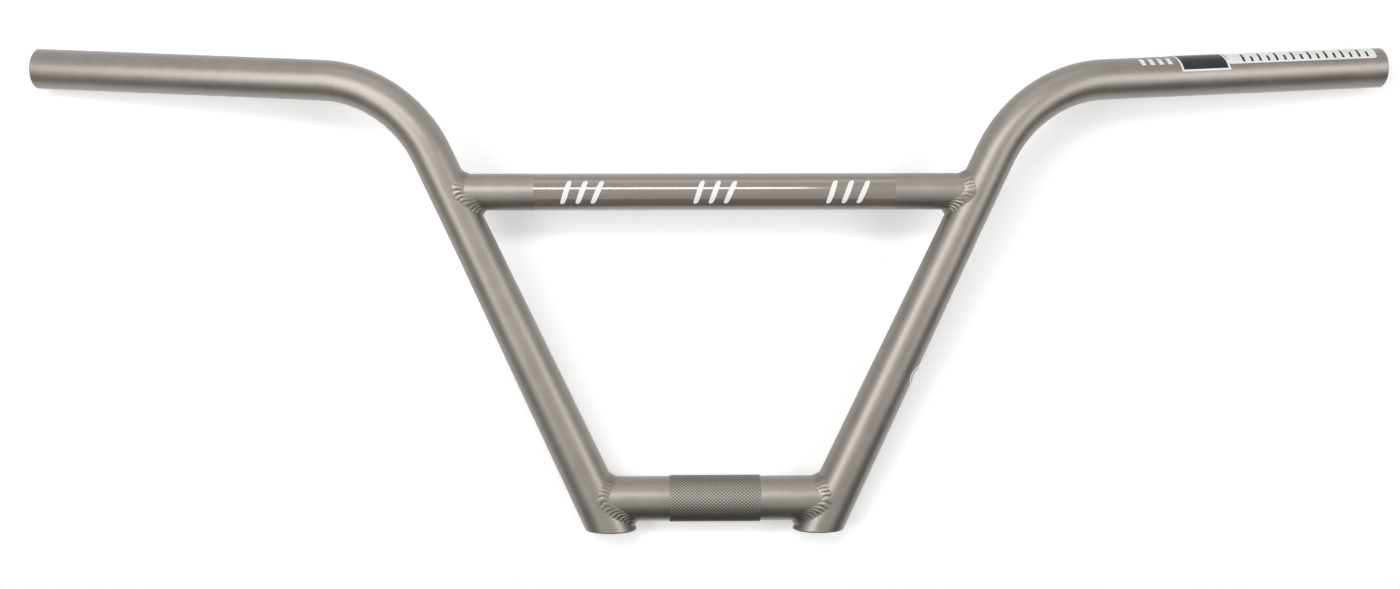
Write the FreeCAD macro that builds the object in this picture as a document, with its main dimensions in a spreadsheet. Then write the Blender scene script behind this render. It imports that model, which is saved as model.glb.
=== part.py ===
"""A four-piece BMX handlebar: two bent side tubes, a crossbar and a clamp tube, welded together.

Millimetres and degrees. The origin is the middle of the clamp tube, X runs along that tube,
Z points up the rise, and the front of the bar faces -Y, so the grips sweep back to +Y.
Left and right are the rider's: the left side is at +X.
"""
import FreeCAD, Part
import math
import os
import Sketcher

from FreeCAD import Vector

DRIVING = (
    ("overall_width", 754.0),  # between the middles of the two bar ends
    ("rise", 237.2),  # from the clamp axis up to the middle of a bar end
    ("back_sweep", 11.0),
    ("up_sweep", 2.5),
    ("riser_lean", 25.0),  # from upright
    ("riser_spacing", 130.4),  # between the riser axes, at the clamp axis
    ("tube_dia", 22.2),  # grips, bends and upper risers
    ("tube_wall", 1.1),
    ("bend_radius", 70.0),  # at the middle of the tube
    ("crossbar_drop", 22.2),  # along the riser, from the bend down to the crossbar's axis
    ("crossbar_undersize", 2.2),  # how much slimmer the crossbar is than the side tubes
    ("crossbar_wall", 1.0),
    ("clamp_seat_dia", 25.4),  # where the stem grips
    ("seat_length", 50.0),
    ("seat_step", 0.4),  # how far the seat stands above the rest of the clamp tube
    ("clamp_wall", 2.0),  # under the plain stretches
    ("riser_over_clamp", 0.9),  # how much wider a riser is than the clamp tube that meets it
    ("taper_gap", 1.5),  # from the riser's taper up to the crossbar weld
    ("base_overhang", 5.1),  # how far the risers run on below the clamp tube
    ("base_round", 0.7),  # rounded lower rim of a riser
    ("cap_thickness", 1.6),
    ("cap_inset", 0.8),  # how far a cap sits inside the riser's lower rim
    ("edge_break", 0.4),  # broken edges of the bar ends
    ("weld_leg", 3.4),
    ("weld_crown", 0.4),  # how far a bead swells past a flat fillet
)

WORKED_OUT = (
    ("crossbar_dia", "=tube_dia - crossbar_undersize"),
    ("clamp_tube_dia", "=clamp_seat_dia - 2 * seat_step"),
    ("riser_dia", "=clamp_tube_dia + riser_over_clamp"),  # at the clamp axis
    ("sweep_climb", "=tan(up_sweep) / cos(back_sweep)"),  # climb of a grip for each mm across
    ("half_span", "=(overall_width - riser_spacing) / 2"),
    ("corner_height", "=(rise - half_span * sweep_climb) / (1 - tan(riser_lean) * sweep_climb)"),
    ("bend_cosine", "=sin(riser_lean) * cos(up_sweep) * cos(back_sweep) + cos(riser_lean) * sin(up_sweep)"),
    ("bend_angle", "=acos(bend_cosine)"),
    ("bend_across", "=cos(up_sweep) * cos(back_sweep) * cos(riser_lean) - sin(up_sweep) * sin(riser_lean)"),
    ("bend_turn", "=atan2(cos(up_sweep) * sin(back_sweep); bend_across)"),  # about the riser's axis
    ("bend_reach", "=bend_radius * tan(bend_angle / 2)"),
    ("bend_start", "=corner_height / cos(riser_lean) - bend_reach"),  # along the riser
    ("grip_across", "=half_span - corner_height * tan(riser_lean)"),
    ("grip_length", "=grip_across / (cos(up_sweep) * cos(back_sweep)) - bend_reach"),
    ("crossbar_along", "=bend_start - crossbar_drop"),
    ("crossbar_height", "=crossbar_along * cos(riser_lean)"),
    ("crossbar_half", "=riser_spacing / 2 + crossbar_along * sin(riser_lean)"),
    ("crossbar_reach", "=crossbar_dia / 2 / cos(riser_lean) + tube_dia / 2 * tan(riser_lean)"),
    ("taper_end", "=crossbar_along - crossbar_reach - weld_leg - taper_gap"),
    ("taper_slope", "=(riser_dia - tube_dia) / 2 / taper_end"),  # radius lost for each mm up
    ("base_drop", "=clamp_tube_dia / 2 + base_overhang"),
    ("stock_drop", "=(base_drop + riser_dia / 2) / cos(riser_lean)"),  # along the riser, untrimmed
    ("stock_radius", "=riser_dia / 2 + taper_slope * stock_drop"),
)

WELD_SECTIONS = 72  # cross-sections around one weld bead

doc = FreeCAD.newDocument("bmx_handlebar")


def make_sheet():
    """The driving dimensions, and below them what follows from them."""
    sheet = doc.addObject("Spreadsheet::Sheet", "dims")
    for row, (alias, value) in enumerate(DRIVING + WORKED_OUT, start=1):
        sheet.set(f"A{row}", alias)
        sheet.set(f"B{row}", str(value))
        sheet.setAlias(f"B{row}", alias)
    doc.recompute()
    return sheet


dims = make_sheet()


def size(alias):
    """One cell of the sheet as a plain number, in mm or degrees."""
    cell = dims.get(alias)
    return float(getattr(cell, "Value", cell))


def add(kind, name, **formulas):
    """A new object of the document, with its properties tied to formulas of the sheet."""
    thing = doc.addObject(kind, name)
    bind(thing, **formulas)
    return thing


def bind(thing, **formulas):
    """Ties properties to formulas of the sheet. In a property's name, a double underscore is a dot."""
    for name, formula in formulas.items():
        thing.setExpression(name.replace("__", "."), formula)


def sketch_on(body, name, role):
    """An empty sketch on one of the body's own origin planes."""
    sketch = body.newObject("Sketcher::SketchObject", name)
    plane = next(feature for feature in body.Origin.OriginFeatures if feature.Role == role)
    sketch.AttachmentSupport = [(plane, "")]
    sketch.MapMode = "FlatFace"
    return sketch


def constrain(sketch, formula, *constraint):
    """One dimension of a sketch, tied to a formula of the sheet."""
    number = sketch.addConstraint(Sketcher.Constraint(*constraint, 1.0))
    sketch.setExpression(f"Constraints[{number}]", formula)


def draw_outline(sketch, corners):
    """A closed outline of straight lines, each corner placed by formulas for its x and y."""
    count = len(corners)
    rough = [Vector(index + 1, (index + 1) ** 2, 0) for index in range(count)]
    for index in range(count):
        sketch.addGeometry(Part.LineSegment(rough[index], rough[(index + 1) % count]))
    for index in range(count):
        sketch.addConstraint(Sketcher.Constraint("Coincident", index, 2, (index + 1) % count, 1))
    for index, (across, up) in enumerate(corners):
        constrain(sketch, across, "DistanceX", -1, 1, index, 1)
        constrain(sketch, up, "DistanceY", -1, 1, index, 1)


def draw_ring(sketch, outer, wall):
    """Two circles about the sketch's origin: the section of a tube."""
    for index, radius in enumerate((outer, f"{outer} - {wall}")):
        sketch.addGeometry(Part.Circle(Vector(0, 0, 0), Vector(0, 0, 1), 10.0 - index))
        sketch.addConstraint(Sketcher.Constraint("Coincident", index, 3, -1, 1))
        constrain(sketch, radius, "Radius", index)


def draw_axis(sketch, offset):
    """An upright construction line at an offset from the sketch's origin, for a bend to turn about."""
    line = sketch.addGeometry(Part.LineSegment(Vector(50, 0, 0), Vector(50, 10, 0)), True)
    sketch.addConstraint(Sketcher.Constraint("Vertical", line))
    sketch.addConstraint(Sketcher.Constraint("PointOnObject", line, 1, -1))
    constrain(sketch, offset, "DistanceX", -1, 1, line, 1)
    constrain(sketch, offset, "DistanceY", line, 1, line, 2)


def revolve(body, name, sketch, axis, **formulas):
    feature = body.newObject("PartDesign::Revolution", name)
    feature.Profile = sketch
    feature.ReferenceAxis = (sketch, [axis])
    bind(feature, **formulas)


def bent_stock():
    """The left side tube before its foot is trimmed: a tapered riser, the bend and the grip.

    The body's own Z is the riser's axis, from the clamp axis up, and its XZ plane is the plane of the bend.
    """
    body = doc.addObject("PartDesign::Body", "side_tube_stock")
    radius = "dims.tube_dia / 2"
    bore = "(dims.tube_dia / 2 - dims.tube_wall)"

    riser = sketch_on(body, "riser_wall", "XZ_Plane")
    draw_outline(
        riser,
        (
            ("dims.stock_radius", "-dims.stock_drop"),
            (radius, "dims.taper_end"),
            (radius, "dims.bend_start"),
            (bore, "dims.bend_start"),
            (bore, "dims.taper_end"),
            ("dims.stock_radius - dims.tube_wall", "-dims.stock_drop"),
        ),
    )
    revolve(body, "riser", riser, "V_Axis")

    section = sketch_on(body, "bend_section", "XY_Plane")
    bind(section, AttachmentOffset__Base__z="dims.bend_start")
    draw_ring(section, radius, "dims.tube_wall")
    draw_axis(section, "dims.bend_radius")
    revolve(body, "bend", section, "Axis0", Angle="dims.bend_angle")

    grip = sketch_on(body, "grip_wall", "XZ_Plane")
    bind(
        grip,
        AttachmentOffset__Base__x="dims.bend_radius * (1 - cos(dims.bend_angle))",
        AttachmentOffset__Base__y="dims.bend_start + dims.bend_radius * sin(dims.bend_angle)",
        AttachmentOffset__Rotation__Angle="-dims.bend_angle",
    )
    end = "dims.grip_length"
    draw_outline(
        grip,
        (
            (bore, "0"),
            (radius, "0"),
            (radius, f"{end} - dims.edge_break"),
            (f"{radius} - dims.edge_break", end),
            (f"{bore} + dims.edge_break", end),
            (bore, f"{end} - dims.edge_break"),
        ),
    )
    revolve(body, "grip", grip, "V_Axis")

    lean = "placement(vector(dims.riser_spacing / 2; 0; 0); rotation(vector(0; 1; 0); dims.riser_lean))"
    turn = "placement(vector(0; 0; 0); rotation(vector(0; 0; 1); dims.bend_turn))"
    bind(body, Placement=f"{lean} * {turn}")
    return body


def along_riser(kind, name, start, **formulas):
    """A cone or cylinder about the left riser's axis, starting at a distance up it from the clamp axis."""
    solid = add(kind, name, **formulas)
    solid.Placement.Rotation.Axis = Vector(0, 1, 0)
    bind(
        solid,
        Placement__Base__x=f"dims.riser_spacing / 2 + ({start}) * sin(dims.riser_lean)",
        Placement__Base__z=f"({start}) * cos(dims.riser_lean)",
        Placement__Rotation__Angle="dims.riser_lean",
    )
    return solid


def riser_cone(name, inset):
    """The tapered stretch of the left riser as a full cone, inset all round."""
    return along_riser(
        "Part::Cone",
        name,
        "-dims.stock_drop",
        Radius1=f"dims.stock_radius - {inset}",
        Radius2=f"dims.tube_dia / 2 - {inset}",
        Height="dims.stock_drop + dims.taper_end",
    )


def across(name, radius, half_length, height):
    """A cylinder along X, about the middle of the bar."""
    solid = add("Part::Cylinder", name, Radius=radius, Height=f"2 * {half_length}")
    solid.Placement.Rotation = FreeCAD.Rotation(Vector(0, 1, 0), 90)
    bind(solid, Placement__Base__x=f"-{half_length}", Placement__Base__z=height)
    return solid


def across_crossbar(name, radius):
    """A cylinder about the crossbar's axis, from riser axis to riser axis."""
    return across(name, radius, "dims.crossbar_half", "dims.crossbar_height")


def slab(name, bottom, height):
    """A level slab, wide enough for the whole foot of the left riser."""
    solid = add("Part::Box", name, Length="dims.riser_spacing", Width="4 * dims.riser_dia", Height=height)
    bind(solid, Placement__Base__y="-2 * dims.riser_dia", Placement__Base__z=bottom)
    return solid


def mirrored(source, name):
    twin = doc.addObject("Part::Mirroring", name)
    twin.Source = source
    twin.Normal = Vector(1, 0, 0)
    return twin


def cut(name, base, tool):
    result = doc.addObject("Part::Cut", name)
    result.Base = base
    result.Tool = tool
    return result


def pair(name, left):
    """A solid and its mirror image, as one cutting tool."""
    both = doc.addObject("Part::MultiFuse", name)
    both.Shapes = [left, mirrored(left, f"{name}_mirrored")]
    return both


def side_tube():
    """The left side tube, trimmed level at the foot, with the foot's outer rim rounded."""
    below_foot = slab("below_foot", "-(dims.base_drop + dims.stock_drop)", "dims.stock_drop")
    trimmed = cut("trimmed_tube", bent_stock(), below_foot)
    doc.recompute()
    foot = -size("base_drop")
    rims = [
        (edge.Length, number)
        for number, edge in enumerate(trimmed.Shape.Edges, start=1)
        if abs(edge.BoundBox.ZMax - foot) < 1e-6 and abs(edge.BoundBox.ZMin - foot) < 1e-6
    ]
    tube = doc.addObject("Part::Fillet", "left_side_tube")
    tube.Base = trimmed
    tube.Edges = [(max(rims)[1], size("base_round"), size("base_round"))]
    return tube


def base_cap():
    """A disc welded inside the foot of the left riser."""
    cap = doc.addObject("Part::Common", "left_base_cap")
    cap.Base = riser_cone("riser_bore", "dims.tube_wall")
    cap.Tool = slab("cap_slab", "dims.cap_inset - dims.base_drop", "dims.cap_thickness")
    return cap


def crossbar(riser):
    """A thin straight tube, its ends mitred to the upper risers."""
    bore = across_crossbar("crossbar_bore", "dims.crossbar_dia / 2 - dims.crossbar_wall")
    tube = cut("crossbar_blank", across_crossbar("crossbar_stock", "dims.crossbar_dia / 2"), bore)
    return cut("crossbar", tube, pair("upper_risers", riser))


def clamp_tube(riser):
    """A thick straight tube with a raised seat for the stem, its ends mitred to the lower risers."""
    body = doc.addObject("PartDesign::Body", "clamp_blank")
    wall = sketch_on(body, "clamp_wall_section", "XZ_Plane")
    plain = "dims.clamp_tube_dia / 2"
    seat = "dims.clamp_seat_dia / 2"
    bore = f"{plain} - dims.clamp_wall"
    end = "dims.riser_spacing / 2"
    seat_end = "dims.seat_length / 2"
    slope_end = "(dims.seat_length / 2 + dims.seat_step)"
    draw_outline(
        wall,
        (
            (f"-{end}", bore),
            (end, bore),
            (end, plain),
            (slope_end, plain),
            (seat_end, seat),
            (f"-{seat_end}", seat),
            (f"-{slope_end}", plain),
            (f"-{end}", plain),
        ),
    )
    revolve(body, "clamp_stock", wall, "H_Axis")
    return cut("clamp_tube", body, pair("lower_risers", riser))


def saddle(tube_radius, height, riser_radius, slope, angle):
    """A point of the seam between a tube along X and the left riser, with both outward normals there.

    The angle runs about the tube, from +Y towards +Z. riser_radius is the riser's radius at the clamp axis.
    """
    lean = math.radians(size("riser_lean"))
    up_riser = Vector(math.sin(lean), 0, math.cos(lean))
    off_riser = Vector(math.cos(lean), 0, -math.sin(lean))
    y = tube_radius * math.cos(angle)
    z = height + tube_radius * math.sin(angle)
    along = z * math.cos(lean)
    for _ in range(30):
        radius = riser_radius - slope * along
        off = -math.sqrt(radius * radius - y * y)
        x = (off + z * math.sin(lean)) / math.cos(lean)
        along = x * math.sin(lean) + z * math.cos(lean)
    point = Vector(size("riser_spacing") / 2 + x, y, z)
    tube_normal = Vector(0, math.cos(angle), math.sin(angle))
    riser_normal = (off_riser * off + Vector(0, y, 0)) * (1 / radius) + up_riser * slope
    return point, tube_normal, riser_normal.normalize(), radius


def bead_section(tube_radius, height, riser_radius, slope, angle):
    """The section of a weld bead: a swelling arc from toe to toe, closed by a root inside the metal.

    The toe on the riser stands off square to the seam. The toe on the tube stands off along the tube,
    further where the seam runs aslant, so that the sections never cross where the seam turns sharply.
    """
    leg = size("weld_leg")
    sunk = leg / 4
    little = 0.001
    point, on_tube, on_riser, radius = saddle(tube_radius, height, riser_radius, slope, angle)
    ahead = saddle(tube_radius, height, riser_radius, slope, angle + little)[0]
    behind = saddle(tube_radius, height, riser_radius, slope, angle - little)[0]
    aslant = math.hypot(1, (ahead.x - behind.x) / (2 * little * tube_radius))
    run = on_tube.cross(on_riser).normalize()
    outward = (on_tube + on_riser).normalize()
    tube_toe = point - Vector(leg * aslant, 0, 0)
    riser_toe = point + on_riser.cross(run) * leg
    swell = (tube_toe + riser_toe) / 2 + outward * size("weld_crown")
    root = point - outward * leg
    tube_toe -= on_tube * sunk
    riser_toe -= on_riser * (sunk + leg * leg / (2 * radius))
    arc = Part.Arc(tube_toe, swell, riser_toe).toShape()
    return Part.Wire([arc, Part.makeLine(riser_toe, root), Part.makeLine(root, tube_toe)])


def weld(name, tube_radius, height, riser_radius, slope, tube_solid, riser_solid):
    """A weld bead all round a joint on the left: lofted along the seam, less the two tubes it lies on."""
    step = 2 * math.pi / WELD_SECTIONS
    angles = [step * index for index in range(WELD_SECTIONS)]
    sections = [bead_section(tube_radius, height, riser_radius, slope, angle) for angle in angles]
    bead = doc.addObject("Part::Feature", name)
    bead.Shape = Part.makeLoft(sections, True, True, True).cut(tube_solid.Shape).cut(riser_solid.Shape)
    return bead


upper_riser = along_riser(
    "Part::Cylinder",
    "upper_riser",
    "dims.taper_end",
    Radius="dims.tube_dia / 2",
    Height="dims.bend_start - dims.taper_end",
)
lower_riser = riser_cone("lower_riser", "0")
clamp_core = across("clamp_core", "dims.clamp_tube_dia / 2", "dims.riser_spacing / 2", "0")
crossbar_core = across_crossbar("crossbar_core", "dims.crossbar_dia / 2")

middle_parts = [crossbar(upper_riser), clamp_tube(lower_riser)]
left_parts = [side_tube(), base_cap()]
doc.recompute()
left_parts.append(
    weld(
        "left_crossbar_weld",
        size("crossbar_dia") / 2,
        size("crossbar_height"),
        size("tube_dia") / 2,
        0.0,
        crossbar_core,
        upper_riser,
    )
)
left_parts.append(
    weld(
        "left_clamp_weld",
        size("clamp_tube_dia") / 2,
        0.0,
        size("riser_dia") / 2,
        size("taper_slope"),
        clamp_core,
        lower_riser,
    )
)
right_parts = [mirrored(part, part.Label.replace("left", "right")) for part in left_parts]
doc.recompute()

failed = [thing.Label for thing in doc.Objects if {"Invalid", "Error"} & set(thing.State)]
if failed:
    raise RuntimeError(f"not built: {failed}")
sub_parts = middle_parts + left_parts + right_parts
for part in sub_parts:
    if part.Shape.isNull() or not part.Shape.isValid():
        raise RuntimeError(f"bad shape: {part.Label}")

os.makedirs("parts", exist_ok=True)
for part in sub_parts:
    part.Shape.exportStep(os.path.join("parts", f"{part.Label}.step"))
    print(part.Label, len(part.Shape.Solids), "solid,", round(part.Shape.Volume), "mm3")
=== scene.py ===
"""A welded BMX handlebar: lacquered steel tubes, a knurled clamp tube, rippled welds and stuck-on films.

Metres, in the frame of the solids: X runs along the clamp tube to the rider's left, Z points up the rise and
the front of the bar faces -Y.
"""

import functools
import math

import bmesh
import bpy
import numpy as np
from mathutils import Matrix, Vector


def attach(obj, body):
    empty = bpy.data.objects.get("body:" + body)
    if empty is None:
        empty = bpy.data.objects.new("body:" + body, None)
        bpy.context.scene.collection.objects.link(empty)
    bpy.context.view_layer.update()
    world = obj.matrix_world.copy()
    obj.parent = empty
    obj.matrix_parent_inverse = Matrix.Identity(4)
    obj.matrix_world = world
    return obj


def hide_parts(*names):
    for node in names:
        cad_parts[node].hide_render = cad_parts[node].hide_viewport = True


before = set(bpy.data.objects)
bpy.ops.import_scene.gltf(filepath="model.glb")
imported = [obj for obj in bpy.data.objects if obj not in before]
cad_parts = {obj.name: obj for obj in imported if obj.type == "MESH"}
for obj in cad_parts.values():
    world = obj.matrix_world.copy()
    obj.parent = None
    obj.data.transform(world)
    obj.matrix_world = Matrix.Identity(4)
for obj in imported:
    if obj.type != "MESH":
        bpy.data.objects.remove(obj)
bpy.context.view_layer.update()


# Side tubes: each grip, bend and riser is one length of steel tube, drawn to a taper towards the clamp, bent
# and trimmed level at the foot. The welded bar is blasted and gets a thin satin lacquer in a warm metal grey.

LACQUER_GREY = (0.228, 0.206, 0.186, 1.0)
LACQUER_SPECKLE = 0.34
SATIN_COAT = {"Metallic": 0.9, "Coat Weight": 0.4, "Coat Roughness": 0.38}
SPECKLE_FINENESS = 1900.0
CLOUD_FINENESS = 60.0
CLOUD_IN_GLOSS = 0.16
GRAIN_RELIEF = 0.00006


def put(tree, kind, inputs=(), **settings):
    """A new node of a tree. Its inputs, by name or number, are values or outputs of other nodes."""
    node = tree.nodes.new(kind)
    for name, value in settings.items():
        setattr(node, name, value)
    for socket, value in dict(inputs).items():
        if isinstance(value, bpy.types.NodeSocket):
            tree.links.new(value, node.inputs[socket])
        else:
            node.inputs[socket].default_value = value
    return node


def math_of(tree, operation, *terms):
    """The output of a new maths node. Its terms are values or outputs of other nodes."""
    return put(tree, "ShaderNodeMath", dict(enumerate(terms)), operation=operation).outputs[0]


def make_group(name, kind, inputs, outputs):
    """An empty node group with named sockets, and its two end nodes."""
    group = bpy.data.node_groups.new(name, kind)
    for direction, sockets in (("INPUT", inputs), ("OUTPUT", outputs)):
        for socket, socket_kind in sockets:
            group.interface.new_socket(socket, in_out=direction, socket_type="NodeSocket" + socket_kind)
    return group, put(group, "NodeGroupInput"), put(group, "NodeGroupOutput")


def blasted_grain():
    """The grain of blasted and lacquered steel: a fine speckle, over broad faint clouds in the metal."""
    group, given, made = make_group(
        "blasted_grain",
        "ShaderNodeTree",
        (("Tone", "Color"), ("Shade", "Float"), ("Gloss", "Float"), ("Speckle", "Float"), ("Cloud", "Float")),
        (("Color", "Color"), ("Roughness", "Float"), ("Height", "Float")),
    )
    place = put(group, "ShaderNodeTexCoord").outputs["Object"]
    speckle = put(
        group,
        "ShaderNodeTexNoise",
        {"Vector": place, "Scale": SPECKLE_FINENESS, "Detail": 2.0, "Roughness": 0.6},
    ).outputs[0]
    cloud = put(
        group,
        "ShaderNodeTexNoise",
        {"Vector": place, "Scale": CLOUD_FINENESS, "Detail": 4.0, "Roughness": 0.72},
    ).outputs[0]
    speckle_swing = math_of(group, "SUBTRACT", speckle, 0.5)
    cloud_swing = math_of(group, "SUBTRACT", cloud, 0.5)
    speckled = math_of(group, "MULTIPLY_ADD", speckle_swing, given.outputs["Speckle"], 1.0)
    clouded = math_of(group, "MULTIPLY_ADD", cloud_swing, given.outputs["Cloud"], speckled)
    # The group's shade input scales the colour: below 1 it paints shade, above 1 a painted highlight. It
    # stays 1 except on the knurl and the welds.
    shaded = math_of(group, "MULTIPLY", clouded, given.outputs["Shade"])
    colour = put(
        group, "ShaderNodeVectorMath", {0: given.outputs["Tone"], "Scale": shaded}, operation="SCALE"
    ).outputs[0]
    gloss = math_of(group, "MULTIPLY_ADD", cloud_swing, CLOUD_IN_GLOSS, given.outputs["Gloss"])
    for socket, value in (("Color", colour), ("Roughness", gloss), ("Height", speckle)):
        group.links.new(value, made.inputs[socket])
    return group


GRAIN = blasted_grain()


def grained_material(name, tone, gloss, speckle, cloud, constants):
    """A new material with the grain in its colour and roughness, its tree and its two main nodes."""
    material = bpy.data.materials.new(name)
    material.use_nodes = True
    tree = material.node_tree
    tree.nodes.clear()
    grain = put(
        tree,
        "ShaderNodeGroup",
        {"Tone": tone, "Shade": 1.0, "Gloss": gloss, "Speckle": speckle, "Cloud": cloud},
        name="grain",
        node_tree=GRAIN,
    )
    shader = put(tree, "ShaderNodeBsdfPrincipled", constants)
    put(tree, "ShaderNodeOutputMaterial", {"Surface": shader.outputs[0]})
    tree.links.new(grain.outputs["Color"], shader.inputs["Base Color"])
    tree.links.new(grain.outputs["Roughness"], shader.inputs["Roughness"])
    return material, tree, grain, shader


def lacquered_steel(name, gloss, cloud, tone=LACQUER_GREY, coat=SATIN_COAT):
    """Blasted steel under a thin clear coat."""
    material, tree, grain, shader = grained_material(name, tone, gloss, LACQUER_SPECKLE, cloud, coat)
    height = grain.outputs["Height"]
    bump = put(tree, "ShaderNodeBump", {"Height": height, "Strength": 0.35, "Distance": GRAIN_RELIEF})
    tree.links.new(bump.outputs[0], shader.inputs["Normal"])
    return material


def dress(piece, material):
    piece.data.materials.clear()
    piece.data.materials.append(material)


tube_lacquer = lacquered_steel("tube_lacquer", gloss=0.44, cloud=0.45)
for side in ("left", "right"):
    dress(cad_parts[side + "_side_tube"], tube_lacquer)


# Base caps: a pressed steel disc closes the open foot of each riser. It is welded in just above the rim, and
# lacquered with the bar.

for side in ("left", "right"):
    dress(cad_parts[side + "_base_cap"], tube_lacquer)


# Crossbar: a slimmer straight steel tube that ties the risers together. Its ends are cut to their curve and
# welded all round, and it is lacquered with the bar.

dress(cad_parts["crossbar"], tube_lacquer)


# Clamp tube: a short thick tube, mitred to the feet of the risers. Its middle band is rolled with a diamond
# knurl, which keeps the stem's clamp from slipping round it. Its lacquer is painted darker towards the roots
# of
# the teeth and lighter towards their tops: painted shade and painted highlight.

SEAT_HALF = 0.0250
SEAT_SLOPE_END = 0.0254
CLAMP_RADIUS = 0.0123
KNURL_ROOT = 0.01228
KNURL_DEPTH = 0.00067
KNURL_FLAT = 0.13
KNURL_ROWS = 49
KNURL_COLUMNS = 88
KNURL_SHARP = math.radians(25)
# Factors on the knurl lacquer's colour: painted shade at the roots of the teeth, painted highlight at their
# tops.
GROOVE_PAINTED_SHADE = 0.25
RIDGE_PAINTED_HIGHLIGHT = 1.75
HAIR = 1e-6


def knurl_nodes():
    """Raises every face of a mesh to a low pyramid with a small flat top."""
    tree, given, made = make_group(
        "knurl",
        "GeometryNodeTree",
        (("Blank", "Geometry"), ("Depth", "Float"), ("Flat", "Float"), ("Material", "Material")),
        (("Knurl", "Geometry"),),
    )
    raised = put(
        tree,
        "GeometryNodeExtrudeMesh",
        {"Mesh": given.outputs["Blank"], "Offset Scale": given.outputs["Depth"], "Individual": True},
        mode="FACES",
    )
    drawn_in = put(
        tree,
        "GeometryNodeScaleElements",
        {0: raised.outputs["Mesh"], "Selection": raised.outputs["Top"], "Scale": given.outputs["Flat"]},
        domain="FACE",
    )
    realized = put(tree, "GeometryNodeRealizeInstances", {0: drawn_in.outputs[0]})
    finished = put(
        tree, "GeometryNodeSetMaterial", {0: realized.outputs[0], "Material": given.outputs["Material"]}
    )
    tree.links.new(finished.outputs[0], made.inputs["Knurl"])
    return tree


def new_piece(name, mesh):
    piece = bpy.data.objects.new(name, mesh)
    bpy.context.scene.collection.objects.link(piece)
    return piece


def run_nodes(piece, tree, **values):
    """Swaps a piece's mesh for what a node tree makes of it, with the tree's named inputs set."""
    modifier = piece.modifiers.new(tree.name, "NODES")
    modifier.node_group = tree
    for item in tree.interface.items_tree:
        if item.name in values:
            modifier[item.identifier] = values[item.name]
    graph = bpy.context.evaluated_depsgraph_get()
    made = bpy.data.meshes.new_from_object(piece.evaluated_get(graph), depsgraph=graph)
    piece.modifiers.remove(modifier)
    blank = piece.data
    piece.data = made
    bpy.data.meshes.remove(blank)


def knurl_blank():
    """The band before it is rolled: a ring of flat diamonds, halved along its two ends."""
    crossings = [
        (row, column)
        for row in range(KNURL_ROWS + 1)
        for column in range(KNURL_COLUMNS)
        if (row + column) % 2
    ]
    number = {crossing: index for index, crossing in enumerate(crossings)}
    points = []
    for row, column in crossings:
        angle = 2 * math.pi * column / KNURL_COLUMNS
        x = SEAT_HALF * (2 * row / KNURL_ROWS - 1)
        points.append((x, KNURL_ROOT * math.cos(angle), KNURL_ROOT * math.sin(angle)))
    diamonds = []
    for row in range(KNURL_ROWS + 1):
        for column in range(row % 2, KNURL_COLUMNS, 2):
            around = (
                (row - 1, column),
                (row, (column + 1) % KNURL_COLUMNS),
                (row + 1, column),
                (row, (column - 1) % KNURL_COLUMNS),
            )
            diamonds.append([number[corner] for corner in around if corner in number])
    mesh = bpy.data.meshes.new("knurl_blank")
    mesh.from_pydata(points, [], diamonds)
    return mesh


def knurled_tube(name, solid, band):
    """A copy of the clamp tube's solid, with the plain seat taken off and the knurled band joined in."""
    metal = bmesh.new()
    metal.from_mesh(solid.data)
    bmesh.ops.remove_doubles(metal, verts=metal.verts, dist=HAIR)
    on_seat = {
        vert
        for vert in metal.verts
        if abs(vert.co.x) < SEAT_SLOPE_END + HAIR
        and math.hypot(vert.co.y, vert.co.z) > CLAMP_RADIUS - 10 * HAIR
    }
    seat = [face for face in metal.faces if on_seat.issuperset(face.verts)]
    bmesh.ops.delete(metal, geom=seat, context="FACES")
    for face in metal.faces:
        face.smooth = True
        face.material_index = 0
    plain = set(metal.faces)
    metal.from_mesh(band.data)
    for face in metal.faces:
        if face not in plain:
            face.material_index = 1
    for end in (-1, 1):
        rims = [edge for edge in metal.edges if edge.is_boundary and end * edge.verts[0].co.x > 0]
        bmesh.ops.bridge_loops(metal, edges=rims)
    bmesh.ops.recalc_face_normals(metal, faces=metal.faces)
    mesh = bpy.data.meshes.new(name)
    metal.to_mesh(mesh)
    metal.free()
    mesh.set_sharp_from_angle(angle=KNURL_SHARP)
    mesh.materials.append(tube_lacquer)
    mesh.materials.append(knurl_lacquer)
    return new_piece(name, mesh)


def lacquer_with_painted_light(name, gloss, cloud, height, low, high):
    """Lacquered steel with painted shade in its hollows and a painted highlight on its heights. low and high
    are each a height and the factor of painted shade or highlight there.
    """
    material = lacquered_steel(name, gloss, cloud)
    tree = material.node_tree
    shade = put(
        tree,
        "ShaderNodeMapRange",
        {"Value": height(tree), "From Min": low[0], "From Max": high[0], "To Min": low[1], "To Max": high[1]},
    )
    tree.links.new(shade.outputs["Result"], tree.nodes["grain"].inputs["Shade"])
    return material


def from_clamp_axis(tree):
    place = put(tree, "ShaderNodeTexCoord").outputs["Object"]
    across = put(tree, "ShaderNodeVectorMath", {0: place, 1: (0.0, 1.0, 1.0)}, operation="MULTIPLY")
    return put(tree, "ShaderNodeVectorMath", {0: across.outputs[0]}, operation="LENGTH").outputs["Value"]


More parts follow.
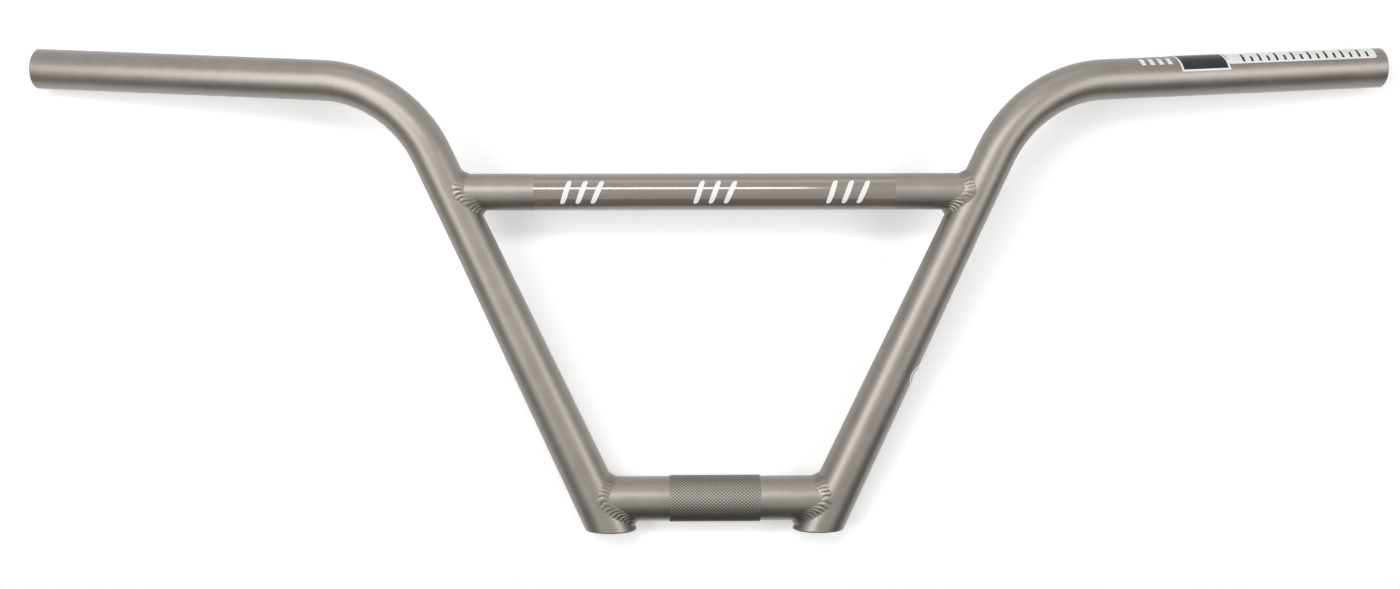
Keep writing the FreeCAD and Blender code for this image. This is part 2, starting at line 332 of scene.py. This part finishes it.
# The knurl's lacquer gets painted shade in the grooves and a painted highlight on the ridges, by distance
# from the tube's axis.
knurl_lacquer = lacquer_with_painted_light(
    "knurl_lacquer",
    gloss=0.48,
    cloud=0.16,
    height=from_clamp_axis,
    low=(KNURL_ROOT, GROOVE_PAINTED_SHADE),
    high=(KNURL_ROOT + KNURL_DEPTH, RIDGE_PAINTED_HIGHLIGHT),
)
band = new_piece("knurl_band", knurl_blank())
run_nodes(band, knurl_nodes(), Depth=KNURL_DEPTH, Flat=KNURL_FLAT, Material=knurl_lacquer)
clamp_tube = knurled_tube("knurled_clamp_tube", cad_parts["clamp_tube"], band)
bpy.data.objects.remove(band)
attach(clamp_tube, "root")
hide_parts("clamp_tube")


# Welds: each joint is closed by a hollow bead laid by hand, puddle after puddle, so its face is a row of
# overlapping scallops, smoother on top. The beads are lacquered with the bar, with painted shade in the
# scallops' hollows and over the smooth parts of each bead, fading out at its toes, and a painted highlight on
# the scallops' crests.

TUBE_RADIUS = 0.0111
CROSSBAR_RADIUS = 0.0100
CROSSBAR_HEIGHT = 0.1690648
RISER_LEAN = math.radians(25)
RISER_FOOT_X = 0.0652
RISER_FOOT_RADIUS = 0.01275
RISER_TAPER = 0.0099739
WELD_LEG = 0.0046
WELD_CROWN = 0.00010
WELD_HOLLOW = 0.47
WELD_SINK = 0.00025
SEAM_ROUNDS = 30
FINE_STEPS = 2001
RUN_STEPS = 420
ACROSS_STEPS = 14
RIPPLE_LENGTH = 0.0024
RIPPLE_DEPTH = 0.00036
RIPPLE_BOW = 0.45
RIPPLE_UNEVENNESS = 1.5
TOP_FADE = {"From Min": 0.70, "From Max": 0.30, "To Min": 0.12}
PATCH_FADE = {"From Min": 0.35, "From Max": 0.62, "To Min": 0.35, "To Max": 1.2}
SCALLOP_TOP = 0.6
TOE_CREST = 0.35
# Painted shade in the ripple hollows and painted highlight on the crests of the weld lacquer: a crest value
# and its colour factor.
HOLLOW_CREST, HOLLOW_PAINTED_SHADE = -0.4, 0.40
FULL_CREST, FULL_PAINTED_HIGHLIGHT = 0.5, 1.12

JOINTS = {
    "crossbar_weld": {"tube": CROSSBAR_RADIUS, "height": CROSSBAR_HEIGHT, "riser": TUBE_RADIUS, "taper": 0.0},
    "clamp_weld": {"tube": CLAMP_RADIUS, "height": 0.0, "riser": RISER_FOOT_RADIUS, "taper": RISER_TAPER},
}


def seam(joint, angle):
    """Points of the seam on the left, the normals of the tube and the riser there, and the riser's radius."""
    sine, cosine = math.sin(RISER_LEAN), math.cos(RISER_LEAN)
    y = joint["tube"] * np.cos(angle)
    z = joint["height"] + joint["tube"] * np.sin(angle)
    along = z * cosine
    for _ in range(SEAM_ROUNDS):
        radius = joint["riser"] - joint["taper"] * along
        off = -np.sqrt(radius * radius - y * y)
        x = (off + z * sine) / cosine
        along = x * sine + z * cosine
    points = np.stack([RISER_FOOT_X + x, y, z], axis=1)
    on_tube = np.stack([0 * angle, np.cos(angle), np.sin(angle)], axis=1)
    inwards, taper = off / radius, joint["taper"]
    on_riser = np.stack(
        [cosine * inwards + sine * taper, y / radius, cosine * taper - sine * inwards], axis=1
    )
    on_riser /= np.linalg.norm(on_riser, axis=1, keepdims=True)
    return points, on_tube, on_riser, radius


def even_angles(joint):
    """Angles about the tube that step evenly along the seam, and the seam's length."""
    fine = np.linspace(0, 2 * math.pi, FINE_STEPS)
    points = seam(joint, fine)[0]
    run = np.concatenate([[0], np.cumsum(np.linalg.norm(np.diff(points, axis=0), axis=1))])
    steps = np.linspace(0, run[-1], RUN_STEPS, endpoint=False)
    return np.interp(steps, run, fine), run[-1]


def smooth_bead(name, joint, side):
    """A bead without ripples, closed below by a root in the metal. It carries its own run and width."""
    angle, length = even_angles(joint)
    points, on_tube, on_riser, radius = seam(joint, angle)
    little = 0.001
    drift = (seam(joint, angle + little)[0] - seam(joint, angle - little)[0])[:, 0]
    aslant = np.hypot(1, drift / (2 * little * joint["tube"]))
    run = np.cross(on_tube, on_riser)
    run /= np.linalg.norm(run, axis=1, keepdims=True)
    outward = on_tube + on_riser
    outward /= np.linalg.norm(outward, axis=1, keepdims=True)
    tube_toe = points - np.outer(WELD_LEG * aslant, (1, 0, 0))
    riser_toe = points + np.cross(on_riser, run) * WELD_LEG
    chord = (tube_toe + riser_toe) / 2 - points
    swell = points + chord * (1 - WELD_HOLLOW) + outward * WELD_CROWN
    tube_toe -= on_tube * WELD_SINK
    riser_toe -= on_riser * (WELD_SINK + WELD_LEG**2 / (2 * radius))[:, None]
    pull = 2 * swell - (tube_toe + riser_toe) / 2
    share = np.linspace(0, 1, ACROSS_STEPS)[None, :, None]
    face = (
        (1 - share) ** 2 * tube_toe[:, None]
        + 2 * share * (1 - share) * pull[:, None]
        + share**2 * riser_toe[:, None]
    )
    root = (points - outward * WELD_LEG)[:, None]
    rings = np.concatenate([face, root], axis=1)
    mirror = np.array([side, 1, 1])
    corners = ACROSS_STEPS + 1
    quads = []
    for step in range(RUN_STEPS):
        for corner in range(corners):
            here, there = step * corners, (step + 1) % RUN_STEPS * corners
            turn = (corner + 1) % corners
            quads.append((here + corner, here + turn, there + turn, there + corner))
    mesh = bpy.data.meshes.new(name)
    mesh.from_pydata((rings * mirror).reshape(-1, 3).tolist(), [], quads)
    across = np.append(np.linspace(0, 1, ACROSS_STEPS), 0)
    for label, values in (
        ("run", np.repeat(np.arange(RUN_STEPS) / RUN_STEPS, corners)),
        ("across", np.tile(across, RUN_STEPS)),
    ):
        mesh.attributes.new(label, "FLOAT", "POINT").data.foreach_set("value", values.astype(np.float32))
    lift = np.repeat(outward * mirror, corners, axis=0).astype(np.float32)
    mesh.attributes.new("lift", "FLOAT_VECTOR", "POINT").data.foreach_set("vector", lift.ravel())
    metal = bmesh.new()
    metal.from_mesh(mesh)
    bmesh.ops.recalc_face_normals(metal, faces=metal.faces)
    for quad in metal.faces:
        quad.smooth = True
    metal.to_mesh(mesh)
    metal.free()
    return new_piece(name, mesh), length


def ripple_nodes():
    """Swells a bead into overlapping scallops along its run, bowed and uneven. It stays smooth on top. It
    stores the scallops' height as crest, which sets the painted shade and highlight of the weld's lacquer.
    """
    tree, given, made = make_group(
        "weld_ripple",
        "GeometryNodeTree",
        (
            ("Bead", "Geometry"),
            ("Ripples", "Float"),
            ("Depth", "Float"),
            ("Bow", "Float"),
            ("Unevenness", "Float"),
            ("Material", "Material"),
        ),
        (("Bead", "Geometry"),),
    )

    def read(label, kind):
        return put(tree, "GeometryNodeInputNamedAttribute", {"Name": label}, data_type=kind).outputs[0]

    def noise(fineness, detail):
        return put(
            tree, "ShaderNodeTexNoise", {"Scale": fineness, "Detail": detail}, noise_dimensions="3D"
        ).outputs[0]

    sum_of = functools.partial(math_of, tree)
    run, across, lift = read("run", "FLOAT"), read("across", "FLOAT"), read("lift", "FLOAT_VECTOR")
    inwards = sum_of("MULTIPLY", across, sum_of("SUBTRACT", 1.0, across))
    fullness = sum_of("MULTIPLY", inwards, 4.0)
    wander = sum_of("SUBTRACT", noise(fineness=160.0, detail=1.0), 0.5)
    uneven = sum_of("MULTIPLY", wander, given.outputs["Unevenness"])
    laid = sum_of("MULTIPLY_ADD", run, given.outputs["Ripples"], uneven)
    puddle = sum_of("FRACT", sum_of("MULTIPLY_ADD", fullness, given.outputs["Bow"], laid))
    from_middle = sum_of("MULTIPLY_ADD", puddle, 2.0, -1.0)
    scallop = sum_of("SUBTRACT", SCALLOP_TOP, sum_of("MULTIPLY", from_middle, from_middle))
    upward = put(tree, "ShaderNodeSeparateXYZ", {0: lift}).outputs["Z"]
    below = put(tree, "ShaderNodeMapRange", {"Value": upward, **TOP_FADE}).outputs["Result"]
    patches = noise(fineness=110.0, detail=0.0)
    patchy = put(tree, "ShaderNodeMapRange", {"Value": patches, **PATCH_FADE}).outputs["Result"]
    shown = sum_of("MULTIPLY", sum_of("MULTIPLY", below, patchy), sum_of("POWER", fullness, 2.0))
    swell = sum_of("MULTIPLY", scallop, shown)
    rise = sum_of("MULTIPLY", swell, given.outputs["Depth"])
    # crest drives painted shade and highlight in the weld lacquer: darker in hollows and where the bead is
    # smooth, lighter on crests, plain at the toes.
    crest = sum_of("MULTIPLY_ADD", sum_of("SUBTRACT", 1.0, fullness), TOE_CREST, swell)
    offset = put(tree, "ShaderNodeVectorMath", {0: lift, "Scale": rise}, operation="SCALE")
    rippled = put(
        tree, "GeometryNodeSetPosition", {0: given.outputs["Bead"], "Offset": offset.outputs[0]}
    )
    marked = put(
        tree,
        "GeometryNodeStoreNamedAttribute",
        {0: rippled.outputs[0], "Name": "crest", "Value": crest},
        data_type="FLOAT",
        domain="POINT",
    )
    realized = put(tree, "GeometryNodeRealizeInstances", {0: marked.outputs[0]})
    finished = put(
        tree, "GeometryNodeSetMaterial", {0: realized.outputs[0], "Material": given.outputs["Material"]}
    )
    tree.links.new(finished.outputs[0], made.inputs["Bead"])
    return tree


def ripple_crest(tree):
    return put(tree, "ShaderNodeAttribute", attribute_name="crest").outputs["Fac"]


# Weld lacquer with painted shade in the ripple hollows and on the smooth bead, and a painted highlight on the
# crests.
weld_lacquer = lacquer_with_painted_light(
    "weld_lacquer",
    gloss=0.38,
    cloud=0.40,
    height=ripple_crest,
    low=(HOLLOW_CREST, HOLLOW_PAINTED_SHADE),
    high=(FULL_CREST, FULL_PAINTED_HIGHLIGHT),
)
ripple = ripple_nodes()
for side, sign in (("left", 1), ("right", -1)):
    for joint_name, joint in JOINTS.items():
        node = side + "_" + joint_name
        bead, length = smooth_bead("rippled_" + node, joint, sign)
        run_nodes(
            bead,
            ripple,
            Ripples=float(round(length / RIPPLE_LENGTH)),
            Depth=RIPPLE_DEPTH,
            Bow=RIPPLE_BOW,
            Unevenness=RIPPLE_UNEVENNESS,
            Material=weld_lacquer,
        )
        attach(bead, "root")
        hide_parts(node)


# Films: thin printed vinyl, stuck on the finished bar. A clear gloss film goes round the front of the
# crossbar and carries plain white strokes. A label with trim marks lies along the top of the left grip, and a
# small round mark sits on the outside of the left riser.

COVERED_GREY = (0.176, 0.143, 0.120, 1.0)
GLOSS_FILM = {"Metallic": 0.7, "Coat Weight": 1.0, "Coat Roughness": 0.08, "Coat IOR": 1.85}
GLOSS_PRINT = {"Specular IOR Level": 0.3, "Coat Weight": 0.15, "Coat Roughness": 0.08}
FILM = 0.00008
FILM_GAP = 0.00002
FILM_SHARP = math.radians(40)
PRINT_LIFT = 0.00006
ROW_STEP = 0.0005
COLUMNS = 4
STROKE_BLUNTNESS = 0.02
STROKE_THINNING = 0.18
SWAY_SEED = 7


def sheet(name, low, high, ends, level=0):
    """A thin flat sheet. Over its height it reaches along the tube from and to what ends() gives."""
    steps = max(2, round((high - low) / ROW_STEP))
    flat = bmesh.new()
    layers = []
    for lift in (level * PRINT_LIFT, level * PRINT_LIFT + FILM):
        rows = []
        for step in range(steps + 1):
            around = low + (high - low) * step / steps
            start, end = ends(around)
            places = [start + (end - start) * column / COLUMNS for column in range(COLUMNS + 1)]
            rows.append([flat.verts.new((along, around, lift)) for along in places])
        layers.append(rows)
    under, over = layers

    def join(row, other):
        for column in range(COLUMNS):
            flat.faces.new([row[column], row[column + 1], other[column + 1], other[column]])

    for step in range(steps):
        join(over[step], over[step + 1])
        join(under[step + 1], under[step])
        for column in (0, COLUMNS):
            below, above = under[step : step + 2], over[step : step + 2]
            flat.faces.new([below[0][column], below[1][column], above[1][column], above[0][column]])
    for step in (0, steps):
        join(under[step], over[step])
    bmesh.ops.recalc_face_normals(flat, faces=flat.faces)
    mesh = bpy.data.meshes.new(name)
    flat.to_mesh(mesh)
    flat.free()
    return new_piece(name, mesh)


def straight(start, end, lean=0.0):
    return lambda around: (start + lean * around, end + lean * around)


def round_cut(start, end, low, high, corner):
    """A sheet with its four corners cut round."""

    def ends(around):
        into = corner - min(around - low, high - around, corner)
        cut = corner - math.sqrt(max(0.0, corner * corner - into * into))
        return start + cut, end - cut

    return ends


def brushed(width, reach, lean):
    """A slanting stroke of a brush with round ends, a little fuller in its middle."""

    def ends(around):
        middle = around * lean
        tip = min(1.0, (reach - abs(around)) / (width / 2))
        rounding = math.sqrt(max(STROKE_BLUNTNESS, 1 - (1 - tip) ** 2))
        half = width / 2 * rounding * (1 - STROKE_THINNING * (around / reach) ** 2)
        return middle - half, middle + half

    return ends


def disc(middle, radius):
    def ends(around):
        half = math.sqrt(max(1e-9, radius * radius - (around - middle) ** 2))
        return -half, half

    return ends


def lay_nodes():
    """Repeats a flat sheet in groups along a tube, and rolls it all round the tube."""
    tree, given, made = make_group(
        "lay_on_tube",
        "GeometryNodeTree",
        (
            ("Sheet", "Geometry"),
            ("Count", "Int"),
            ("Step", "Float"),
            ("Groups", "Int"),
            ("Stride", "Float"),
            ("Sway", "Float"),
            ("Radius", "Float"),
            ("Material", "Material"),
        ),
        (("Film", "Geometry"),),
    )
    sum_of = functools.partial(math_of, tree)

    def row(count, step):
        last = sum_of("SUBTRACT", count, 1.0)
        start = sum_of("MULTIPLY", sum_of("MULTIPLY", last, step), -0.5)
        return put(
            tree,
            "GeometryNodeMeshLine",
            {
                "Count": count,
                "Start Location": put(tree, "ShaderNodeCombineXYZ", {"X": start}).outputs[0],
                "Offset": put(tree, "ShaderNodeCombineXYZ", {"X": step}).outputs[0],
            },
        ).outputs[0]

    other_way = sum_of("MULTIPLY", given.outputs["Sway"], -1.0)
    sway = put(tree, "FunctionNodeRandomValue", {"Seed": SWAY_SEED}, data_type="FLOAT")
    tree.links.new(other_way, sway.inputs[2])
    tree.links.new(given.outputs["Sway"], sway.inputs[3])
    turn = put(tree, "ShaderNodeCombineXYZ", {"Z": sway.outputs[1]})
    marks = put(
        tree,
        "GeometryNodeInstanceOnPoints",
        {
            "Points": row(given.outputs["Count"], given.outputs["Step"]),
            "Instance": given.outputs["Sheet"],
            "Rotation": turn.outputs[0],
        },
    )
    groups = put(
        tree,
        "GeometryNodeInstanceOnPoints",
        {"Points": row(given.outputs["Groups"], given.outputs["Stride"]), "Instance": marks.outputs[0]},
    )
    realized = put(tree, "GeometryNodeRealizeInstances", {0: groups.outputs[0]})
    flat = put(tree, "ShaderNodeSeparateXYZ", {0: put(tree, "GeometryNodeInputPosition").outputs[0]}).outputs
    angle = sum_of("DIVIDE", flat["Y"], given.outputs["Radius"])
    reach = sum_of("ADD", given.outputs["Radius"], flat["Z"])
    forward = sum_of("MULTIPLY", sum_of("MULTIPLY", reach, sum_of("COSINE", angle)), -1.0)
    upward = sum_of("MULTIPLY", reach, sum_of("SINE", angle))
    rolled = put(tree, "ShaderNodeCombineXYZ", {"X": flat["X"], "Y": forward, "Z": upward})
    wrapped = put(
        tree, "GeometryNodeSetPosition", {0: realized.outputs[0], "Position": rolled.outputs[0]}
    )
    finished = put(
        tree, "GeometryNodeSetMaterial", {0: wrapped.outputs[0], "Material": given.outputs["Material"]}
    )
    tree.links.new(finished.outputs[0], made.inputs["Film"])
    return tree


def printed_vinyl(name, ink):
    """Vinyl with a slightly uneven print, under a gloss finish."""
    return grained_material(name, ink, gloss=0.38, speckle=0.06, cloud=0.10, constants=GLOSS_PRINT)[0]


clear_film = lacquered_steel("clear_film", gloss=0.66, cloud=0.16, tone=COVERED_GREY, coat=GLOSS_FILM)
white_print = printed_vinyl("white_print", (0.86, 0.86, 0.85, 1.0))
black_print = printed_vinyl("black_print", (0.012, 0.011, 0.011, 1.0))
grey_print = printed_vinyl("grey_print", (0.30, 0.29, 0.28, 1.0))
lay = lay_nodes()


def stick(piece, tube, radius, material, count=1, step=0.0, groups=1, stride=0.0, sway=0.0):
    """Rolls a flat sheet on a tube that stands in its own frame, and fixes it there."""
    run_nodes(
        piece,
        lay,
        Count=count,
        Step=step,
        Groups=groups,
        Stride=stride,
        Sway=sway,
        Radius=radius,
        Material=material,
    )
    piece.data.transform(tube)
    for face in piece.data.polygons:
        face.use_smooth = True
    piece.data.set_sharp_from_angle(angle=FILM_SHARP)
    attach(piece, "root")


def tube_frame(place, line):
    """A frame on a tube's axis: X along it, -Y to the front of the bar."""
    back = (Vector((0, 1, 0)) - line * line.y).normalized()
    return Matrix.Translation(place) @ Matrix((line, back, line.cross(back))).transposed().to_4x4()


CROSSBAR_FILM_HALF = 0.098
CROSSBAR_FILM_EDGE = 0.0172
CROSSBAR_FILM_CORNER = 0.003
STROKE_WIDTH = 0.0030
STROKE_EDGE = 0.0066
STROKE_REACH = 0.0067
STROKE_LEAN = 0.36

crossbar_frame = tube_frame(Vector((0, 0, CROSSBAR_HEIGHT)), Vector((1, 0, 0)))
film_ends = round_cut(
    -CROSSBAR_FILM_HALF, CROSSBAR_FILM_HALF, -CROSSBAR_FILM_EDGE, CROSSBAR_FILM_EDGE, CROSSBAR_FILM_CORNER
)
stick(
    sheet("crossbar_film", -CROSSBAR_FILM_EDGE, CROSSBAR_FILM_EDGE, film_ends),
    crossbar_frame,
    CROSSBAR_RADIUS + FILM_GAP,
    clear_film,
)
stroke_ends = brushed(STROKE_WIDTH, STROKE_REACH, STROKE_LEAN)
stick(
    sheet("crossbar_strokes", -STROKE_EDGE, STROKE_EDGE, stroke_ends, level=1),
    crossbar_frame,
    CROSSBAR_RADIUS + FILM_GAP,
    white_print,
    count=3,
    step=0.0085,
    groups=3,
    stride=0.0720,
    sway=0.07,
)

GRIP_END = Vector((0.377, 0.039936, 0.2372))
GRIP_LINE = Vector((0.980693, 0.190627, 0.043619))
LABEL_START, LABEL_END = -0.0966, -0.0066
LABEL_CORNER = 0.0012
BLOCK_START, BLOCK_END = -0.1230, -0.0967
BLOCK_LEAN = -0.16
BORDER_ALONG, BORDER_BELOW = 0.0012, 0.0011
DASH_START, DASH_END = -0.1385, -0.1360
TICK_MIDDLE = -0.0520
TICK_HALF = 0.0007

grip_frame = tube_frame(GRIP_END, GRIP_LINE)
grip_radius = TUBE_RADIUS + FILM_GAP
degree = grip_radius * math.radians(1)
strip_low, strip_high = 29 * degree, 108 * degree
block_low, block_high = 17 * degree, 106 * degree
label_ends = round_cut(LABEL_START, LABEL_END, strip_low, strip_high, LABEL_CORNER)
border_ends = straight(BLOCK_START - BORDER_ALONG, BLOCK_END + BORDER_ALONG, BLOCK_LEAN)
block_ends = straight(BLOCK_START, BLOCK_END, BLOCK_LEAN)
for name, low, high, ends, level, ink in (
    ("grip_label", strip_low, strip_high, label_ends, 0, white_print),
    ("grip_block_border", block_low - BORDER_BELOW, strip_high, border_ends, 1, white_print),
    ("grip_block", block_low, block_high, block_ends, 2, black_print),
):
    stick(sheet(name, low, high, ends, level), grip_frame, grip_radius, ink)
dash = sheet("grip_dashes", 36 * degree, 62 * degree, straight(DASH_START, DASH_END, BLOCK_LEAN))
stick(dash, grip_frame, grip_radius, white_print, count=4, step=0.0052)
for name, reach, offset in (("long_trim_ticks", 68, 0.0), ("short_trim_ticks", 56, 0.005)):
    middle = TICK_MIDDLE + offset
    tick_ends = straight(middle - TICK_HALF, middle + TICK_HALF)
    tick = sheet(name, 35 * degree, reach * degree, tick_ends, level=1)
    stick(tick, grip_frame, grip_radius, black_print, count=8, step=0.010)

MARK_UP_RISER = 0.0811
MARK_TURN = math.radians(76)

mark_radius = RISER_FOOT_RADIUS - RISER_TAPER * MARK_UP_RISER + 2 * FILM_GAP
riser_line = Vector((math.sin(RISER_LEAN), 0, math.cos(RISER_LEAN)))
riser_frame = tube_frame(Vector((RISER_FOOT_X, 0, 0)) + riser_line * MARK_UP_RISER, riser_line)
outside = -MARK_TURN * mark_radius
for name, radius, level, ink in (
    ("riser_ring", 0.0060, 0, white_print),
    ("riser_band", 0.0049, 1, grey_print),
    ("riser_disc", 0.0038, 2, white_print),
):
    mark = sheet(name, outside - radius, outside + radius, disc(outside, radius), level)
    stick(mark, riser_frame, mark_radius, ink)


# Table: the bar lies face up on a white table, which here leans back behind it and ends just below its feet.
# It is white to the camera and in reflections, keeps the bar's soft shadow, and can't be seen from behind.

TABLE_FOOT = Vector((0, 0.0129, -0.017))
TABLE_HEAD = Vector((0, 0.0515, 0.2372))
TABLE_HALF_WIDTH = 0.9
TABLE_BELOW_FOOT = 0.030
TABLE_ABOVE_FOOT = 0.7
TABLE_WHITE = (0.90, 0.90, 0.90, 1.0)
TABLE_GLOW = 0.32


def seen_rays(tree):
    """1 for rays seen straight, in gloss or through glass, and 0 for those that only light a surface."""
    rays = put(tree, "ShaderNodeLightPath").outputs
    seen = math_of(tree, "MAXIMUM", rays["Is Camera Ray"], rays["Is Glossy Ray"])
    return math_of(tree, "MAXIMUM", seen, rays["Is Transmission Ray"])


def stage_sheet(name, corners):
    """A flat sheet of the stage, and the empty tree of its material."""
    material = bpy.data.materials.new(name)
    material.use_nodes = True
    material.node_tree.nodes.clear()
    mesh = bpy.data.meshes.new(name)
    mesh.from_pydata(corners, [], [(0, 1, 2, 3)])
    mesh.materials.append(material)
    return new_piece(name, mesh), material.node_tree


def white_table():
    uphill = (TABLE_HEAD - TABLE_FOOT).normalized()
    low, high = TABLE_FOOT - uphill * TABLE_BELOW_FOOT, TABLE_FOOT + uphill * TABLE_ABOVE_FOOT
    sideways = Vector((TABLE_HALF_WIDTH, 0, 0))
    corners = (low - sideways, low + sideways, high + sideways, high - sideways)
    table, tree = stage_sheet("white_table", corners)
    strength = math_of(tree, "MULTIPLY", seen_rays(tree), TABLE_GLOW)
    glow = put(tree, "ShaderNodeEmission", {"Strength": strength})
    matt = put(tree, "ShaderNodeBsdfDiffuse", {"Color": TABLE_WHITE})
    paper = put(tree, "ShaderNodeAddShader", {0: glow.outputs[0], 1: matt.outputs[0]})
    clear = put(tree, "ShaderNodeBsdfTransparent")
    behind = put(tree, "ShaderNodeNewGeometry").outputs["Backfacing"]
    both = put(tree, "ShaderNodeMixShader", {0: behind, 1: paper.outputs[0], 2: clear.outputs[0]})
    put(tree, "ShaderNodeOutputMaterial", {"Surface": both.outputs[0]})
    return table


white_table()


# Light: a white studio. A long strip of light hangs above the camera, and a soft box stands at each side of
# it. Plain cards beside, above and below the table show in the lacquer alone, and shape the tubes' shading.

STUDIO_WHITE = 1.0
STUDIO_FILL = 0.3
WALL, FLOOR, CEILING = 1.1, -0.8, 1.2
CARD_FRONT, CARD_BACK, CARD_TOP = -1.0, 0.2, 0.2


def studio():
    world = bpy.data.worlds.new("studio")
    bpy.context.scene.world = world
    world.use_nodes = True
    tree = world.node_tree
    tree.nodes.clear()
    strength = put(
        tree, "ShaderNodeMapRange", {"Value": seen_rays(tree), "To Min": STUDIO_FILL, "To Max": STUDIO_WHITE}
    ).outputs["Result"]
    white = put(tree, "ShaderNodeBackground", {"Color": (1, 1, 1, 1), "Strength": strength})
    put(tree, "ShaderNodeOutputWorld", {"Surface": white.outputs[0]})


def card(name, brightness, corners):
    piece, tree = stage_sheet(name, corners)
    sheen = put(tree, "ShaderNodeEmission", {"Color": (1, 1, 1, 1), "Strength": brightness})
    put(tree, "ShaderNodeOutputMaterial", {"Surface": sheen.outputs[0]})
    piece.visible_camera = False
    piece.visible_diffuse = False
    piece.visible_shadow = False


def standing_card(name, brightness, x):
    low = ((x, CARD_FRONT, FLOOR), (x, CARD_BACK, FLOOR))
    card(name, brightness, low + ((x, CARD_BACK, CARD_TOP), (x, CARD_FRONT, CARD_TOP)))


def lying_card(name, brightness, z, left, right, front, back):
    card(name, brightness, ((left, front, z), (right, front, z), (right, back, z), (left, back, z)))


def soft_box(name, watts, place, target, width, height):
    lamp = bpy.data.lights.new(name, "AREA")
    lamp.shape = "RECTANGLE"
    lamp.size = width
    lamp.size_y = height
    lamp.energy = watts
    aim = (Vector(target) - Vector(place)).to_track_quat("-Z", "Y")
    new_piece(name, lamp).matrix_world = Matrix.Translation(place) @ aim.to_matrix().to_4x4()


studio()
standing_card("left_card", 0.04, WALL)
standing_card("right_card", 0.44, -WALL)
lying_card("lower_card", 0.10, FLOOR, left=-WALL, right=WALL, front=CARD_FRONT, back=1.6)
lying_card("ceiling_card", 1.9, CEILING, left=-0.7, right=0.5, front=-0.65, back=-0.15)
for name, watts, place, target, width, height in (
    ("strip", 6.2, (-0.30, -1.22, 0.70), (-0.30, 0.0, 0.12), 0.90, 0.26),
    ("left_soft_box", 6.2, (1.02, -0.95, 0.21), (0.0, 0.0, 0.12), 0.45, 0.85),
    ("right_soft_box", 6.3, (-0.78, -1.04, 0.21), (0.0, 0.0, 0.12), 0.45, 0.85),
):
    soft_box(name, watts, place, target, width, height)


# Camera: a plain lens about a metre from the bar, square to its front and a little above the crossbar. It is
# turned down by a few degrees, so that the whole bar fills the frame.

FRAME_PIXELS = 1400
FOCAL_PIXELS = 2000
CAMERA_PLACE = (-0.026764, -1.091283, 0.203291)
CAMERA_TURN = math.radians(-0.988)
CAMERA_TILT = math.radians(90 - 4.739)
CAMERA_ROLL = math.radians(-0.076)

camera = bpy.data.cameras.new("camera")
camera.sensor_fit = "HORIZONTAL"
camera.sensor_width = 36.0
camera.lens = camera.sensor_width * FOCAL_PIXELS / FRAME_PIXELS
holder = new_piece("camera", camera)
holder.matrix_world = (
    Matrix.Translation(CAMERA_PLACE)
    @ Matrix.Rotation(CAMERA_TURN, 4, "Z")
    @ Matrix.Rotation(CAMERA_TILT, 4, "X")
    @ Matrix.Rotation(CAMERA_ROLL, 4, "Z")
)
bpy.context.scene.camera = holder
bpy.context.scene.view_settings.view_transform = "Standard"
